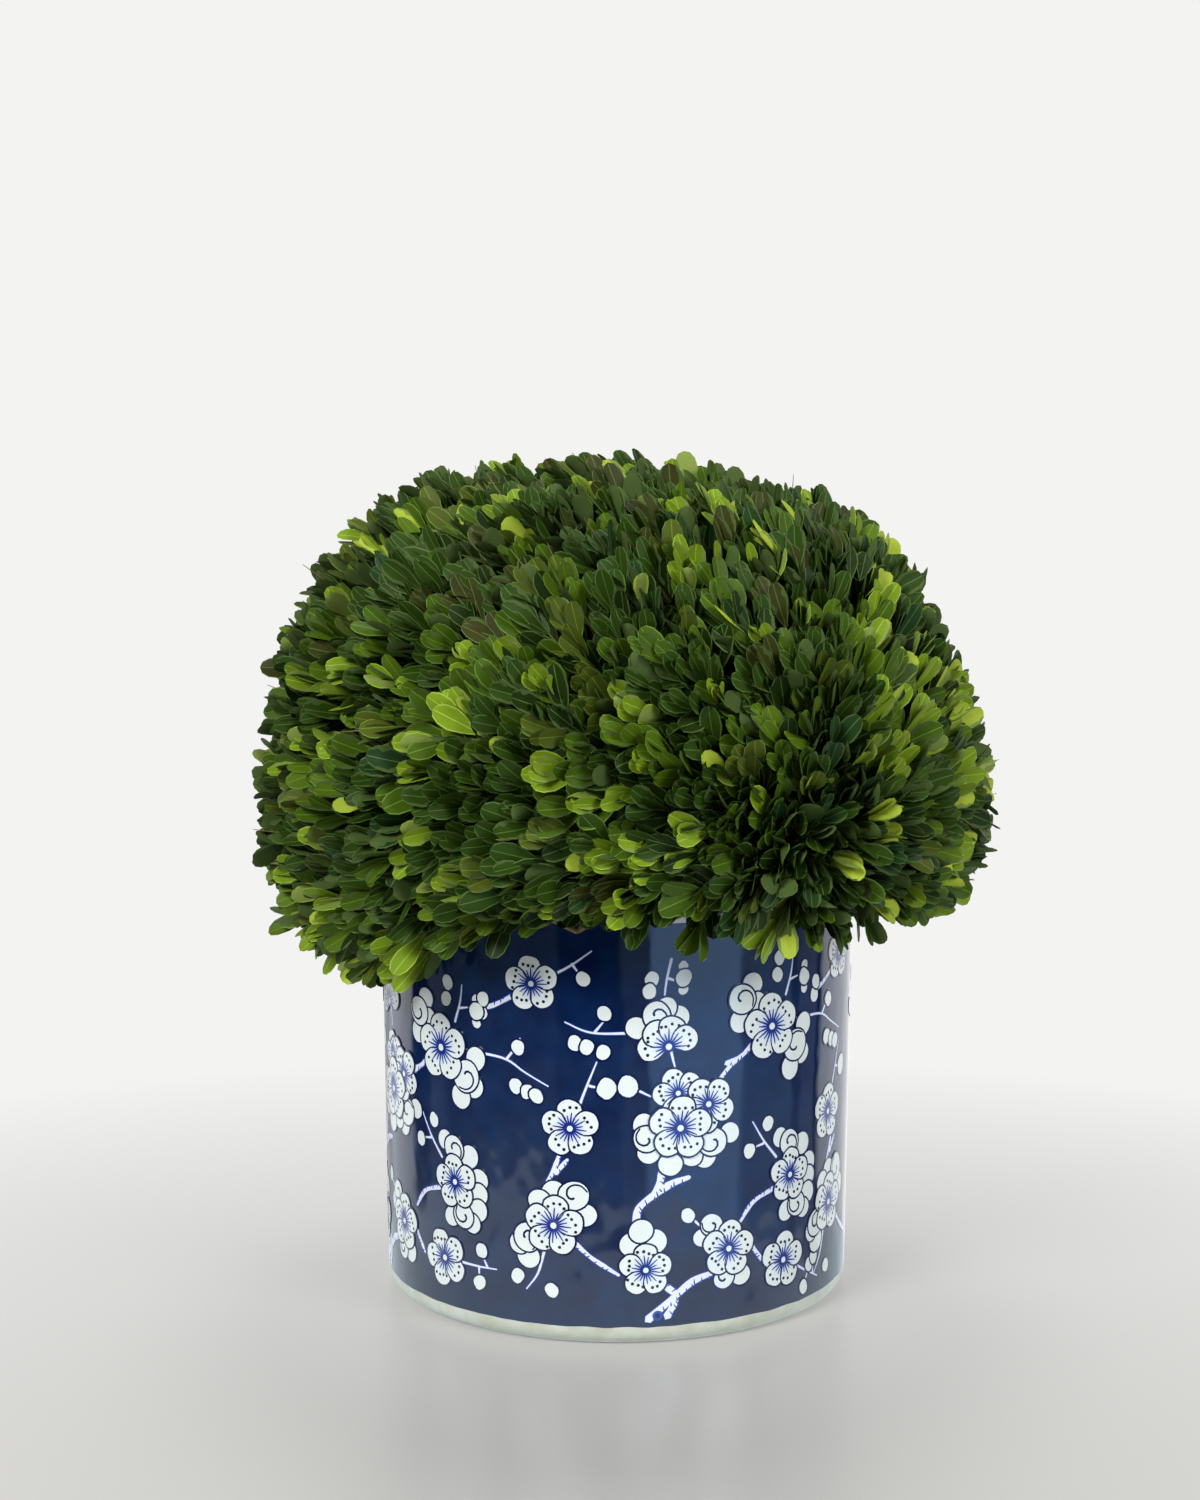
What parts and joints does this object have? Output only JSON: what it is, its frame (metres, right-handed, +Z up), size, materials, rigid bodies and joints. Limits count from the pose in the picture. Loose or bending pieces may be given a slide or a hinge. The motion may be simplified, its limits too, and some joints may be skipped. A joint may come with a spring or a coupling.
{
  "type": "potted preserved boxwood topiary",
  "caption": "Clipped dome of boxwood leaves on a short hidden stem, in a tall cylindrical blue and white glazed pot.",
  "frame": {"origin": "middle of the pot's flat underside", "axes": "+Z up along the pot's axis, -Y towards the front that the picture shows, +X to its right"},
  "size_m": [0.3098, 0.3095, 0.3581],
  "materials": {
    "glaze": "glossy cobalt blue glaze with white plum blossom, over white porcelain",
    "foam": "dry brown florist's foam",
    "bark": "matt grey-brown bark",
    "foliage": "preserved leaves with a soft waxy gloss"
  },
  "bodies": {
    "root": {"pot": "glaze", "foam_plug": "foam", "stem": "bark", "bough_1": "bark", "bough_2": "bark", "bough_3": "bark", "bough_4": "bark", "bough_5": "bark", "bough_6": "bark", "bough_7": "bark", "bough_8": "bark", "bough_top": "bark", "foliage_1": "foliage", "foliage_2": "foliage", "foliage_3": "foliage", "foliage_4": "foliage", "foliage_5": "foliage", "foliage_6": "foliage", "foliage_7": "foliage", "foliage_8": "foliage", "foliage_top": "foliage"}
  },
  "joints": []
}
